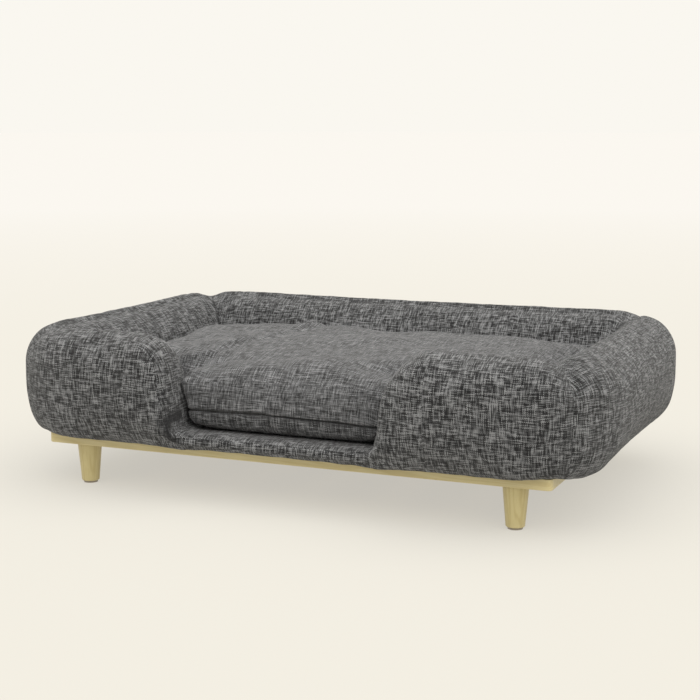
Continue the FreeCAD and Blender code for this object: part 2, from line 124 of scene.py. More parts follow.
def finish(name, specular=0.5, sheen=0.0, coat=0.0):
    """A new material, its surface shader, and a start for its other nodes."""
    material = bpy.data.materials.new(name)
    material.use_nodes = True
    shader = material.node_tree.nodes["Principled BSDF"]
    shader.inputs["Specular IOR Level"].default_value = specular
    shader.inputs["Sheen Weight"].default_value = sheen
    shader.inputs["Sheen Roughness"].default_value = 0.6
    shader.inputs["Coat Weight"].default_value = coat
    return material, shader, Tone(material.node_tree)


def connect(shader, colour, roughness, height=None, depth=0.001):
    """Joins a finish's colour, roughness and relief to its shader; depth is the relief's, in metres."""
    tree = shader.id_data
    tree.links.new(colour.socket, shader.inputs["Base Color"])
    tree.links.new(roughness.socket, shader.inputs["Roughness"])
    if height:
        bump = height.node("Bump", {}, {"Strength": 1.0, "Distance": depth, "Height": height})
        tree.links.new(bump.socket, shader.inputs["Normal"])


def place(tone, scale, source="Object"):
    """Object or UV coordinates, multiplied by scale."""
    sockets = {"Object": 3, "UV": 2}
    coordinates = tone.node("TexCoord", {}, {}, sockets[source])
    return coordinates.node("Mapping", {}, {"Vector": coordinates, "Scale": scale})


def noise(where, scale, detail=3.0, roughness=0.55, distortion=0.0):
    return where.node("TexNoise", {}, {"Vector": where, "Scale": scale, "Detail": detail,
                                       "Roughness": roughness, "Distortion": distortion})


def wood(name, along, pale, dark, coat=0.25):
    """Planed softwood whose grain runs along X, Y or Z."""
    material, shader, tone = finish(name, specular=0.4, coat=coat)
    shader.inputs["Coat Roughness"].default_value = 0.25
    long, longest, short = (place(tone, [stretch if axis == along else 1.0 for axis in "XYZ"])
                            for stretch in (0.06, 0.02, 0.5))
    rings = noise(long, 60.0, detail=2.0, distortion=1.2)
    bands = ((rings * 9.0 * math.pi).math("SINE") * 0.5 + 0.5) ** 1.6
    fibres = noise(longest, 1400.0, detail=2.0)
    blotches = noise(short, 22.0, detail=3.0)
    grain = bands * 0.38 + fibres * 0.34 + blotches * 0.5 - 0.12
    colour = grain.clamped(0.0, 1.0).mixed((*pale, 1), (*dark, 1))
    connect(shader, colour, fibres * 0.2 + 0.36, fibres * 0.6 + bands * 0.2, 0.00025)
    return material


def give(node, material):
    """A CAD part keeps its shape and takes this finish."""
    slots = nodes[node].material_slots
    for one in slots:
        one.material = material
    if not slots:
        nodes[node].data.materials.append(material)


PALE_WOOD, DARK_WOOD = (0.62, 0.54, 0.30), (0.48, 0.385, 0.175)
board_x = wood("rail_wood_x", "X", PALE_WOOD, DARK_WOOD)
board_y = wood("rail_wood_y", "Y", PALE_WOOD, DARK_WOOD)
turned = wood("leg_wood", "Z", (0.55, 0.475, 0.245), (0.40, 0.32, 0.135))
for rail in ("front_rail", "back_rail"):
    give(rail, board_x)
for rail in ("left_end_rail", "right_end_rail"):
    give(rail, board_y)
CORNER_NAMES = ("front_left", "front_right", "back_left", "back_right")
for corner in CORNER_NAMES:
    give("leg_" + corner, turned)


# ---------------------------------------------------------------- slats and fasteners
# Sawn slats screwed into rebates in the long rails, dowels across the rails' joints, and a hanger bolt
# in a tee nut over each leg. The wood is left bare, and the steel is zinc plated.

slat_wood = wood("slat_wood", "Y", (0.60, 0.48, 0.27), (0.42, 0.31, 0.15), coat=0.0)
for node in nodes:
    if node.startswith("slat_") and node != "slat_screws" or node == "frame_dowels":
        give(node, slat_wood)


def metal(name, colour, roughness):
    """Plated or painted metal with fine rubbed marks."""
    material, shader, tone = finish(name)
    shader.inputs["Metallic"].default_value = 1.0
    wear = noise(place(tone, (1, 1, 1)), 900.0)
    marks = noise(place(tone, (1, 0.08, 1)), 2600.0)
    tint = (wear * 0.7 + marks * 0.3).clamped(0.0, 1.0)
    dull, bright = ((*(min(channel * level, 1) for channel in colour), 1) for level in (0.8, 1.15))
    connect(shader, tint.mixed(dull, bright), wear * 0.25 + (roughness - 0.1), marks, 0.00004)
    return material


zinc = metal("zinc_plated_steel", (0.62, 0.62, 0.60), 0.35)
for node in ("slat_screws", "leg_tee_nuts", "leg_hanger_bolts"):
    give(node, zinc)


# ---------------------------------------------------------------- glides and grip strips
# Felt discs stuck under the feet, and strips of hook and loop that stop the bed sliding on its slats.

def fuzz(name, dark, light, grain):
    """Matted or looped pile."""
    material, shader, tone = finish(name, specular=0.2, sheen=0.4)
    pile = noise(place(tone, (1, 1, 1)), grain, detail=5.0, roughness=0.7)
    patches = noise(place(tone, (1, 1, 1)), grain / 14)
    colour = (pile * 0.7 + patches * 0.3).clamped(0.0, 1.0).mixed((*dark, 1), (*light, 1))
    connect(shader, colour, pile * 0.1 + 0.85, pile, 0.0006)
    return material


felt = fuzz("glide_felt", (0.16, 0.13, 0.10), (0.40, 0.35, 0.28), 1500.0)
for corner in CORNER_NAMES:
    give("felt_glide_" + corner, felt)
grip = fuzz("hook_and_loop", (0.008, 0.008, 0.009), (0.07, 0.07, 0.075), 2200.0)
give("grip_strips_on_slats", grip)
give("grip_strips_on_bed", grip)


# ---------------------------------------------------------------- bolster cover
# One stuffed wall round the bed and, lower, across the entrance, in slubby charcoal cloth. An outer and an
# inner panel are sewn together along the top, and the four corners are mitred and gathered.

def all_off():
    """Nothing selected and object mode, so that the next operator acts only on what it makes."""
    if bpy.context.object and bpy.context.object.mode != "OBJECT":
        bpy.ops.object.mode_set(mode="OBJECT")
    bpy.ops.object.select_all(action="DESELECT")


def read(group, name, width=0, kind=float):
    """One value from each point, edge or face, or a row of this many."""
    flat = np.empty(len(group) * max(width, 1), kind)
    group.foreach_get(name, flat)
    return flat.reshape(-1, width) if width else flat


def points_of(piece):
    """Its points, with any edit finished first."""
    all_off()
    return read(piece.data.vertices, "co", 3)


def move_points(piece, places):
    """Puts its points at these places."""
    piece.data.vertices.foreach_set("co", np.ascontiguousarray(places, float).ravel())
    piece.data.update()


def ends_of(piece):
    """The two point numbers of each edge."""
    all_off()
    return read(piece.data.edges, "vertices", 2, int)


def pick(piece, chosen=None, kind="VERT"):
    """Edit mode with just these points, edges or faces selected: a mask, or everything."""
    all_off()
    groups = {"VERT": piece.data.vertices, "EDGE": piece.data.edges, "FACE": piece.data.polygons}
    for name, group in groups.items():
        group.foreach_set("select", np.full(len(group), chosen is None))
    if chosen is not None:
        groups[kind].foreach_set("select", np.asarray(chosen, bool))
    piece.select_set(True)
    bpy.context.view_layer.objects.active = piece
    bpy.ops.object.mode_set(mode="EDIT")
    bpy.ops.mesh.select_mode(type=kind)


def in_order(piece):
    """Numbers its points and faces by where they are, because the edit operators number them differently each
    time, and a cloth simulation comes out a little different when they do."""
    at = np.round(points_of(piece), 6)
    order = np.lexsort(at.T)
    number = np.argsort(order)
    faces = []
    for face in piece.data.polygons:
        turn = number[list(face.vertices)].tolist()
        first = turn.index(min(turn))
        faces.append(turn[first:] + turn[:first])
    piece.data.clear_geometry()
    piece.data.from_pydata(at[order].tolist(), [], sorted(faces))


def smoothstep(low, high, value):
    """An eased rise from 0 at low to 1 at high."""
    t = np.clip((np.asarray(value, float) - low) / (high - low), 0, 1)
    return t * t * (3 - 2 * t)


EAST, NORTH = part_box("right_outer_panel")[1].x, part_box("back_outer_panel")[1].y
FOOT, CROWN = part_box("back_outer_panel")[0].z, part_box("back_outer_panel")[1].z
TALL = CROWN - FOOT
CORNER = 0.140                                        # outer corner of the wall, in plan
TURN_X, TURN_Y = EAST - CORNER, NORTH - CORNER
WALL = 0.118                                          # its thickness
RIDGE_IN, SHOULDER_Z = 0.078, 0.180                   # where the crown ends, and where the inner face starts
SEAM_IN = 0.060                                       # where the panels meet, in from the outer face
CROWN_ROUND = 0.052
OUTLINE = [(0.0, FOOT, 0.035), (0.0, CROWN, CROWN_ROUND), (RIDGE_IN, CROWN, 0.025),
           (WALL, SHOULDER_Z, 0.040), (WALL, FOOT, 0.014)]
ZIP_LOW, ZIP_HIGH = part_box("bolster_zip_tape")[0].z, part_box("bolster_zip_tape")[1].z
ZIP_REACH = 0.311                                     # half the length of the zip's pocket
POCKET = 0.012                                        # its depth
MESH_STEP = 0.0095

# the section: a five-sided face across the middle of the entrance, with its corners rounded
all_off()
bpy.ops.mesh.primitive_circle_add(vertices=len(OUTLINE), radius=0.1, fill_type="NGON")
bolster = bpy.context.object
bolster.name = "bolster_cover"
corners = [Vector((0.0, -NORTH + into, z)) for into, z, _ in OUTLINE]
move_points(bolster, corners)
for number, (_, _, radius) in enumerate(OUTLINE):
    here = corners[number]
    before, after = corners[number - 1] - here, corners[(number + 1) % len(corners)] - here
    turn = math.pi - before.angle(after)
    pick(bolster, np.linalg.norm(points_of(bolster) - np.array(here), axis=1) < 1e-5)
    bpy.ops.mesh.bevel(offset=radius * math.tan(turn / 2), segments=max(2, round(radius * turn / 0.008)),
                       affect="VERTICES")
for cut, across in (((0, 0, ZIP_LOW), (0, 0, 1)), ((0, 0, ZIP_HIGH), (0, 0, 1)),
                    ((0, -NORTH + SEAM_IN, 0), (0, 1, 0))):
    pick(bolster)
    bpy.ops.mesh.bisect(plane_co=cut, plane_no=across)
pick(bolster, kind="FACE")
bpy.ops.mesh.region_to_loop()
bpy.ops.mesh.select_all(action="INVERT")
bpy.ops.mesh.delete(type="EDGE")
for cuts in range(15, 0, -1):
    at, ends = points_of(bolster), ends_of(bolster)
    long = np.round(np.linalg.norm(at[ends[:, 0]] - at[ends[:, 1]], axis=1) / MESH_STEP) == cuts + 1
    if long.any():
        pick(bolster, long, "EDGE")
        bpy.ops.mesh.subdivide(number_cuts=cuts)
section = points_of(bolster)[:, 1:] + (NORTH, 0)
middle = section.mean(axis=0)
section = section[np.argsort(-np.arctan2(*(section - middle).T))]
section = np.roll(section, -int(np.argmin(np.linalg.norm(section - (0.06, FOOT), axis=1))), axis=0)
around = np.concatenate([[0], np.cumsum(np.linalg.norm(np.diff(section, axis=0), axis=1))])
GIRTH = around[-1] + np.linalg.norm(section[-1] - section[0])


def draw_out(x, y, stride=MESH_STEP):
    """Extends the open end by this far, in even strides."""
    count = round(math.hypot(x, y) / stride)
    for _ in range(count):
        bpy.ops.mesh.extrude_region_move(TRANSFORM_OT_translate={"value": (x / count, y / count, 0)})


# the section is drawn out from the middle of the entrance, all the way round and back to it
pick(bolster)
NEAR, END = 0.130, 0.235                              # the cloth of the entrance ends is between these |x|
for x, stride in ((NEAR, 0.010), (END - NEAR, 0.004), (TURN_X - END, MESH_STEP)):
    draw_out(-x, 0, stride)
for side_x, side_y, x, y in ((-1, -1, 0, 2 * TURN_Y), (-1, 1, 2 * TURN_X, 0), (1, 1, 0, -2 * TURN_Y),
                             (1, -1, 0, 0)):
    bpy.ops.mesh.spin(steps=24, angle=math.pi / 2, axis=(0, 0, 1),
                      center=(side_x * TURN_X, side_y * TURN_Y, 0))
    if x or y:
        draw_out(x, y)
for x, stride in ((TURN_X - END, MESH_STEP), (END - NEAR, 0.004), (NEAR, 0.010)):
    draw_out(-x, 0, stride)
pick(bolster)
bpy.ops.mesh.remove_doubles(threshold=0.0004)
bpy.ops.mesh.normals_make_consistent(inside=False)
in_order(bolster)

# where each point lies: in from the outer face, round the section, and how far up the wall
flat_wall = points_of(bolster)
side = np.sign(flat_wall[:, :2])
past = np.maximum(np.abs(flat_wall[:, :2]) - (TURN_X, TURN_Y), 0)
into = CORNER - np.hypot(*past.T)
spot = np.concatenate([np.argmin(np.hypot(into[group][:, None] - section[:, 0],
                                          flat_wall[group, 2][:, None] - section[:, 1]), axis=1)
                       for group in np.array_split(np.arange(len(into)), 8)])
girth = around[spot]
lift = (flat_wall[:, 2] - FOOT) / TALL
in_front = (flat_wall[:, 1] < 0) & (np.abs(flat_wall[:, 0]) <= TURN_X + 1e-5)
mitre = np.arctan2(past[:, 0], past[:, 1])            # 0 on the long walls, and a right angle on the ends
on_mitre = (past > 0).all(axis=1) & (np.abs(mitre - math.pi / 4) < 0.02)
from_mitre = np.where((past > 0).all(axis=1), np.abs(mitre - math.pi / 4) * (CORNER - into), 1.0)

# the entrance: the crown turns down a leaning end and out along a low lip, each end a little its own way
LIP_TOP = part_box("entrance_lip_cover")[1].z - 0.003
ENDS = {-1: (0.161, 0.191, 0.046, 0.032),             # |x| at the foot and the top, and the two turns' radii
        1: (0.153, 0.176, 0.066, 0.026)}


def end_line(foot, top, turn_down, turn_out):
    """The line of the crown from the top of a wall down its end and out on the lip, as |x| and z, and how far
    along it each point is."""
    slope = math.atan2(top - foot, TALL)
    down, level = np.array([-math.sin(slope), -math.cos(slope)]), np.array([-1.0, 0.0])
    bend = math.pi / 2 - slope
    line = [np.array([END, CROWN])]
    for turn_at, radius, start, stop in (
            (np.array([top, CROWN]), turn_down, level, down),
            (np.array([foot + (LIP_TOP - FOOT) * math.tan(slope), LIP_TOP]), turn_out, down, level)):
        first = turn_at - start * radius * math.tan(bend / 2)
        inward = stop - start * float(start @ stop)
        hub = first + inward / np.linalg.norm(inward) * radius
        for step in np.linspace(0, bend, 12):
            line.append(hub + (first - hub) * math.cos(step) + start * radius * math.sin(step))
    line.append(np.array([NEAR, LIP_TOP]))
    line = np.array(line)
    passed = np.concatenate([[0], np.cumsum(np.linalg.norm(np.diff(line, axis=0), axis=1))])
    return passed / passed[-1], line


far = np.abs(flat_wall[:, 0])
along = np.clip((END - far) / (END - NEAR), 0, 1) * in_front
way_x, way_z = np.zeros(len(far)), np.full(len(far), CROWN)
for east, shape in ENDS.items():
    passed, line = end_line(*shape)
    here = side[:, 0] == east if east < 0 else side[:, 0] >= 0
    way_x[here] = np.interp(along[here], passed, line[:, 0])
    way_z[here] = np.interp(along[here], passed, line[:, 1])
wall = flat_wall.copy()
turned_down = in_front & (far < END)


def squared(angle, power):
    """How far out a rounded square reaches at an angle, for a circle's 1."""
    return (np.abs(np.cos(angle)) ** power + np.abs(np.sin(angle)) ** power) ** (-1 / power)


# the front's top outer edge is squarer, and every outer face starts shallow, because stuffing swells it
over_shoulder = np.maximum(flat_wall[:, 2] - (CROWN - CROWN_ROUND), 0)
arc = np.hypot(np.maximum(CROWN_ROUND - into, 0), over_shoulder) / CROWN_ROUND
turn = np.arctan2(over_shoulder, np.maximum(CROWN_ROUND - into, 1e-9))
crisp = (squared(turn, 3) - 1) * arc * (arc > 0.5) * (flat_wall[:, 1] < 0) * smoothstep(0.42, 0.30, far)
wall_into = into - CROWN_ROUND * crisp * np.cos(turn)
wall[:, 2] += CROWN_ROUND * crisp * np.sin(turn)
shallow = 0.005 + 0.007 * (1 - smoothstep(0.05, 0.45, lift))
wall_into = wall_into + shallow * (1 - smoothstep(0.0, 0.05, into))
round_zip = (lift > 0.05) & (lift < 0.2) & (flat_wall[:, 1] > TURN_Y) & (far < ZIP_REACH + 0.009)
wall_into = np.where(round_zip, into, wall_into)
outward = np.where(past > 0, past, 0) * side
outward /= np.maximum(np.linalg.norm(outward, axis=1), 1e-9)[:, None]
wall[:, :2] -= outward * (wall_into - into)[:, None]
leaning = far + (np.where(far < NEAR, far, way_x) - far) * lift
wall[turned_down, 0] = (side[:, 0] * leaning)[turned_down]
low_lip = smoothstep(0.60, 1.0, along)
LIP_OUT, LIP_IN = (NORTH + edge.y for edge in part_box("entrance_lip_cover"))
half_deep, half_tall = (LIP_IN - LIP_OUT) / 2, (LIP_TOP - FOOT) / 2
angle = np.arctan2((lift - 0.5) * 1.1, (into - WALL / 2) / WALL)
swell = squared(angle, 3.2)
lip_into = LIP_OUT + half_deep + half_deep * swell * np.cos(angle)
lip_z = FOOT + half_tall + half_tall * swell * np.sin(angle)
wall_z = FOOT + (wall[:, 2] - FOOT) / TALL * (way_z - FOOT)
into_now = wall_into + (lip_into - wall_into) * low_lip
wall[in_front, 1] = -NORTH + into_now[in_front]
wall[:, 2] = np.where(turned_down, wall_z + (lip_z - wall_z) * low_lip, wall[:, 2])

# the top seam stands a little high, and the mitres are drawn down
wall[:, 2] += 0.004 * lift ** 4 * (1 - smoothstep(0.0, 0.3, along))
DIPS = {(-1, -1): 0.006, (1, -1): 0.012, (-1, 1): 0.009, (1, 1): 0.007}
dip = np.zeros(len(wall))
for (east, north), depth in DIPS.items():
    dip += depth * ((side[:, 0] == east) & (side[:, 1] == north)) * np.exp(-(from_mitre / 0.020) ** 2)
wall[:, 2] -= dip * smoothstep(0.55, 1.0, lift)
move_points(bolster, wall)


def weave_map(piece, places):
    """Gives each face corner its place in the cloth, in metres."""
    while piece.data.uv_layers:
        piece.data.uv_layers.remove(piece.data.uv_layers[0])
    piece.data.uv_layers.new(name="weave")
    piece.data.uv_layers["weave"].uv.foreach_set("vector", np.ascontiguousarray(places, float).ravel())


def faces_of(piece):
    """The point number at each corner of its faces, and the face that each corner is on."""
    all_off()
    sizes = read(piece.data.polygons, "loop_total", kind=int)
    return read(piece.data.loops, "vertex_index", kind=int), np.repeat(np.arange(len(sizes)), sizes)


def centres_of(piece):
    """Each face's middle."""
    all_off()
    return read(piece.data.polygons, "center", 3)


def facing_of(piece):
    """Each face's normal."""
    all_off()
    return read(piece.data.polygons, "normal", 3)


def mean_on(values):
    """A value's mean over the face that each face corner is on."""
    return (np.bincount(owner, values[ends]) / np.bincount(owner))[owner]


# the cloth runs along each wall from mitre to mitre, and at the entrance it lies square to the bed
ends, owner = faces_of(bolster)
long_wall = mean_on(past[:, 1] - past[:, 0] + (past.min(axis=1) == 0) * np.where(past[:, 1] > 0, 1, -1)) > 0
bent = (CORNER - into) * np.where(past.min(axis=1) > 0, mitre, 0)
bent_end = (CORNER - into) * np.where(past.min(axis=1) > 0, math.pi / 2 - mitre, 0)
u_long = side[:, 0] * (np.minimum(np.abs(flat_wall[:, 0]), TURN_X) + bent) + 3 * (side[:, 1] > 0)
u_end = side[:, 1] * (np.minimum(np.abs(flat_wall[:, 1]), TURN_Y) + bent_end) + 5 + 2 * (side[:, 0] > 0)
u = np.where(long_wall, u_long[ends], u_end[ends])
v = girth[ends]
v = v + GIRTH * ((mean_on(girth) - v) > GIRTH / 4) * (mean_on(girth) > 0)
square = mean_on(turned_down * 1.0) > 0.5
facing = np.abs(facing_of(bolster))[owner]
face_v = around[np.argmin(np.hypot(section[:, 0], section[:, 1] - 0.150))]
climbs = 1 if around[np.argmin(np.hypot(section[:, 0], section[:, 1] - 0.180))] > face_v else -1
here = wall[ends]
upright = square & (facing[:, 1] >= facing.max(axis=1) - 1e-6)
endwise = square & ~upright & (facing[:, 0] > 0.8)
u = np.where(square, here[:, 0], u)
u = np.where(endwise, here[:, 1] + 1.3, u)
v = np.where(upright | endwise, face_v + climbs * (here[:, 2] - 0.150), v)
v = np.where(square & ~upright & ~endwise, here[:, 1] + 0.9, v)
weave_map(bolster, np.stack([u, v], axis=1))


def apply(piece, modifier):
    """Makes a modifier's result the piece's own mesh."""
    all_off()
    bpy.context.view_layer.objects.active = piece
    bpy.ops.object.modifier_apply(modifier=modifier.name)


def puff(piece, held, cap, pressure, slack):
    """Swells a piece as stuffed cloth. held is how firmly each point is kept, from 0 to 1, cap is how far it
    may go, and slack is how much longer the cloth is than the shape."""
    start = points_of(piece)
    grip = piece.vertex_groups.new(name="held")
    for firmness in np.unique(held):
        grip.add(np.nonzero(held == firmness)[0].tolist(), float(firmness), "REPLACE")
    cloth = piece.modifiers.new("puff", "CLOTH")
    cloth.settings.quality = 5
    cloth.settings.use_pressure = True
    cloth.settings.uniform_pressure_force = pressure
    cloth.settings.shrink_min = -slack
    cloth.settings.vertex_group_mass = "held"
    cloth.settings.effector_weights.gravity = 0
    cloth.collision_settings.use_collision = False
    cloth.point_cache.frame_end = 25
    for moment in range(1, 21):
        bpy.context.scene.frame_set(moment)
    apply(piece, cloth)
    bpy.context.scene.frame_set(1)
    piece.vertex_groups.clear()
    moved = points_of(piece) - start
    went = np.linalg.norm(moved, axis=1)
    limit = np.broadcast_to(cap, went.shape)
    eased = limit * np.tanh(went / limit)
    move_points(piece, start + moved * (eased / np.maximum(went, 1e-9))[:, None])


at_seam = (np.abs(into - SEAM_IN) < 0.001) & (lift > 0.9)
low_inside = (into > WALL - 0.004) & ~turned_down
zip_run = (flat_wall[:, 1] > 0) & (into < 0.012) & (far < ZIP_REACH)
at_zip = zip_run & (flat_wall[:, 2] > ZIP_LOW - 0.0005) & (flat_wall[:, 2] < ZIP_HIGH + 0.0005)
held = np.where(at_zip | (lift < 0.001), 1.0, 0.0)
held = np.maximum(held, 0.9 * (on_mitre & (lift > 0.02)))
held = np.maximum(held, at_seam & (along < 0.35))
held = np.maximum(held, 0.6 * (low_inside & (lift < 0.2)))
room = 0.012 - 0.011 * low_inside * (1 - smoothstep(0.60, 0.80, lift))
room = np.minimum(room, 0.012 - 0.007 * smoothstep(0.1, 0.3, along) - 0.003 * low_lip)
puff(bolster, held, room, pressure=5.0, slack=0.006)

# the stitching draws the seams in, and nothing presses on the cushion or below the top of the rails
wall = points_of(bolster)
seam_girth = girth[np.nonzero(at_seam)[0][0]] + 0.007 * climbs
off_seam = (girth - seam_girth) * climbs
wall[:, 2] += (0.0030 * np.exp(-((off_seam + 0.012) / 0.008) ** 2) - 0.0065 * np.exp(-(off_seam / 0.006) ** 2)
               ) * (1 - smoothstep(0.2, 0.4, along)) * (lift > 0.5)
mitre_groove = 0.003 * np.exp(-(from_mitre / 0.006) ** 2) * (into < 0.03) * smoothstep(0.03, 0.3, lift)
wall[:, :2] -= outward * mitre_groove[:, None]
inner = (into > WALL - 0.03) & ~turned_down & (wall[:, 2] < SHOULDER_Z + 0.03)
for axis, edge in enumerate((EAST - WALL - 0.0003, NORTH - WALL - 0.0003)):
    straight = inner & (past[:, axis] > 0.01) & (past[:, 1 - axis] < 0.01)
    kept_off = side[:, axis] * np.maximum(np.abs(wall[:, axis]), edge)
    wall[:, axis] = np.where(straight, kept_off, wall[:, axis])
rail_low, rail_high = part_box("front_rail")
past_rails = np.maximum(np.abs(wall[:, 0]) - rail_high.x, np.abs(wall[:, 1]) + rail_low.y)
off_rails = smoothstep(0.0, 0.03, past_rails)
wall[:, 2] = np.maximum(wall[:, 2], FOOT - 0.005 * off_rails)
wall[:, 2] -= 0.0045 * off_rails * (1 - smoothstep(0.0, 0.2, lift)) * (wall[:, 2] > FOOT - 0.0005) * ~at_zip
move_points(bolster, wall)

# the pocket that the zip lies in
ends, owner = faces_of(bolster)
pick(bolster, np.bincount(owner, at_zip[ends]) == np.bincount(owner), "FACE")
bpy.ops.mesh.extrude_region_move(TRANSFORM_OT_translate={"value": (0, -POCKET, 0)})
bpy.ops.mesh.select_more()
bpy.ops.transform.edge_crease(value=0.8)
all_off()


def refine(piece):
    """Subdivides and smooths a finished cover."""
    smooth = piece.modifiers.new("smooth", "SUBSURF")
    smooth.levels = smooth.render_levels = 1
    apply(piece, smooth)
    piece.select_set(True)
    bpy.ops.object.shade_smooth()
    piece.select_set(False)


def note(piece, name, values):
    """Keeps one number per point for a finish to read."""
    piece.data.attributes.new(name, "FLOAT", "POINT").data.foreach_set("value", np.asarray(values, float))


# how far each point is from the top seam or a mitre, which the cloth reads for the seam's groove and the
# painted shade in it
seam_away = np.minimum(np.abs(girth - seam_girth), np.where(lift > 0.02, from_mitre, 1.0))
note(bolster, "seam", np.concatenate([seam_away, np.ones(len(bolster.data.vertices) - len(seam_away))]))
refine(bolster)


def cloth(name, light, dark, contrast, yarn, slub, relief, seams=False):
    """Plain weave of melange yarns, each yarn wide, whose light and dark slubs are about slub long; the
    colour also has painted shade between the yarns and painted highlight on their crowns. seams is True on a
    cover that knows how far each point is from a seam, and then the cloth is darkened along each seam as
    painted shade in its groove."""
    material, shader, tone = finish(name, specular=0.25, sheen=0.1)
    spread = place(tone, (1 / yarn, 1 / yarn, 1), source="UV")
    across, up = (spread.node("SeparateXYZ", {}, {"Vector": spread}, part) for part in (0, 1))
    column, row = across.math("FLOOR"), up.math("FLOOR")
    over = (column + row).math("FLOORED_MODULO", 2.0)
    warp, weft = (noise(tone.node("CombineXYZ", {}, yarns), 1.0, detail=1.0)
                  for yarns in ({"X": column * 1.7, "Y": up * (yarn / slub)},
                                {"X": across * (yarn / slub), "Y": row * 1.7, "Z": 9.0}))
    patches = noise(place(tone, (1, 1, 1), source="UV"), 16.0, detail=2.0)
    shown = warp * over + weft * (1.0 - over)
    other = weft * over + warp * (1.0 - over)
    melange = (shown * 0.75 + other * 0.25 - 0.5) * contrast + (patches - 0.5) * 0.16 + 0.42
    melange = melange.clamped(0.0, 1.0)
    knots = ((across * math.pi).math("SINE") * (up * math.pi).math("SINE")) ** 2.0
    height = knots + shown * 0.6
    # painted light: the colour is lighter on each yarn crossing's crown and darker between the yarns, as
    # painted shade of the weave's relief
    shade = melange ** 1.6 * (knots * 0.9 + 0.6)
    if seams:
        away = tone.node("Attribute", {"attribute_name": "seam"}, {}, 2)
        wobble = noise(place(tone, (1, 1, 1)), 35.0)
        line = (away + (wobble - 0.5) * 0.004).math("ABSOLUTE")
        cut = 1.0 - (line / 0.0042).clamped(0.0, 1.0)
        pull = 1.0 - (line / 0.014).clamped(0.0, 1.0)
        puckers = noise(place(tone, (160, 160, 160)), 1.0, detail=1.0)
        height = height + pull * puckers * 3.0 - cut * 4.0
        # painted shade: the cloth is darkened along each seam, where the shadow in its groove falls
        shade = shade * (1.0 - cut * 0.9)
    colour = shade.clamped(0.0, 1.0).mixed((*dark, 1), (*light, 1))
    connect(shader, colour, melange * 0.1 + 0.82, height, relief)
    return material


charcoal = cloth("bolster_cloth", light=(0.310, 0.315, 0.325), dark=(0.002, 0.002, 0.003), contrast=4.6,
                 yarn=0.0013, slub=0.018, relief=0.0005, seams=True)
bolster.data.materials.append(charcoal)
WALLS = ("left", "back", "right", "front_left", "front_right")
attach(bolster, "bed")
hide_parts(*(wall_name + part for wall_name in WALLS
                       for part in ("_bolster_stuffing", "_outer_panel", "_inner_panel")),
            "entrance_end_panel_left", "entrance_end_panel_right", "entrance_lip_stuffing",
            "entrance_lip_cover")


# ---------------------------------------------------------------- base pad
# The bed's floor: a thin foam board sewn between the lining inside and a dust cover of plain black cloth
# underneath. Its edges are stitched to the wall.

low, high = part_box("base_underside_fabric")[0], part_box("well_floor_fabric")[1]
all_off()
bpy.ops.mesh.primitive_cube_add(size=1)
base = bpy.context.object
base.name = "base_pad"
move_points(base, points_of(base) * (high - low) + (high + low) / 2)
pick(base)
bpy.ops.mesh.bevel(offset=0.003, segments=2, affect="EDGES")
for axis, count in enumerate((40, 26)):
    across = Vector((1 - axis, axis, 0))
    for number in range(1, count):
        pick(base)
        bpy.ops.mesh.bisect(plane_co=across * (low[axis] + (high[axis] - low[axis]) * number / count),
                            plane_no=across)
at = points_of(base)
quilt = np.sin(at[:, 0] * 41) * np.sin(at[:, 1] * 37 + 1) + 0.5 * np.sin(at[:, 0] * 97 + at[:, 1] * 61)
inside = np.minimum(at[:, :2] - low.xy, np.array(high.xy) - at[:, :2]).min(axis=1)
hollow = 0.0012 * (1 + quilt / 2) * smoothstep(0, 0.02, inside)
at[:, 2] -= np.where(at[:, 2] > (low.z + high.z) / 2, hollow, 0)
move_points(base, at)
refine(base)


def flat_map(piece, top):
    """Maps cloth from straight above on the flats, and down the sides from the top edge."""
    ends, owner = faces_of(piece)
    facing, here = np.abs(facing_of(piece))[owner], points_of(piece)[ends]
    hang = top - here[:, 2]
    sideways = (facing[:, 0] > facing[:, 1]) & (facing[:, 0] > 0.75)
    forwards = ~sideways & (facing[:, 1] > 0.75)
    u = here[:, 0] + np.sign(here[:, 0]) * hang * sideways
    v = here[:, 1] + np.sign(here[:, 1]) * hang * forwards
    weave_map(piece, np.stack([u, v], axis=1))


flat_map(base, high.z)
lining = cloth("base_lining", light=(0.05, 0.05, 0.052), dark=(0.010, 0.010, 0.011), contrast=1.2,
               yarn=0.0008, slub=0.006, relief=0.0003)
base.data.materials.append(lining)
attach(base, "bed")
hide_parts("base_underside_fabric", "base_foam", "well_floor_fabric")


# ---------------------------------------------------------------- cushion
# The loose cushion: loose fibre in a cover of a finer weave, with a tongue that fills the entrance. Its
# top and bottom panels meet in a low seam, and its top is rumpled.

low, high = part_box("cushion_bottom_cover")[0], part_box("cushion_top_cover")[1]
SIDE_X, FRONT, BACK = high.x, -high.y, high.y
TONGUE_X, TONGUE_BACK, OVERHANG_FOOT = 0.150, -0.240, 0.107
BLOCK_TALL = 0.096                                    # before its top is crowned
all_off()
bpy.ops.mesh.primitive_cube_add(size=1)
cushion = bpy.context.object
cushion.name = "cushion_cover"
move_points(cushion, points_of(cushion) * (2 * SIDE_X - 0.006, 2 * BACK - 0.006, BLOCK_TALL)
            + (0, 0, low.z + BLOCK_TALL / 2))
for x in (-TONGUE_X, TONGUE_X):
    pick(cushion)
    bpy.ops.mesh.bisect(plane_co=(x, 0, 0), plane_no=(1, 0, 0))
facing = facing_of(cushion)
pick(cushion, (facing[:, 1] < -0.9) & (np.abs(centres_of(cushion)[:, 0]) < 0.1), "FACE")
bpy.ops.mesh.extrude_region_move(TRANSFORM_OT_translate={"value": (0, TONGUE_BACK - FRONT - 0.003, 0)})
pick(cushion)
bpy.ops.mesh.bisect(plane_co=(0, 0, OVERHANG_FOOT + 0.001), plane_no=(0, 0, 1))
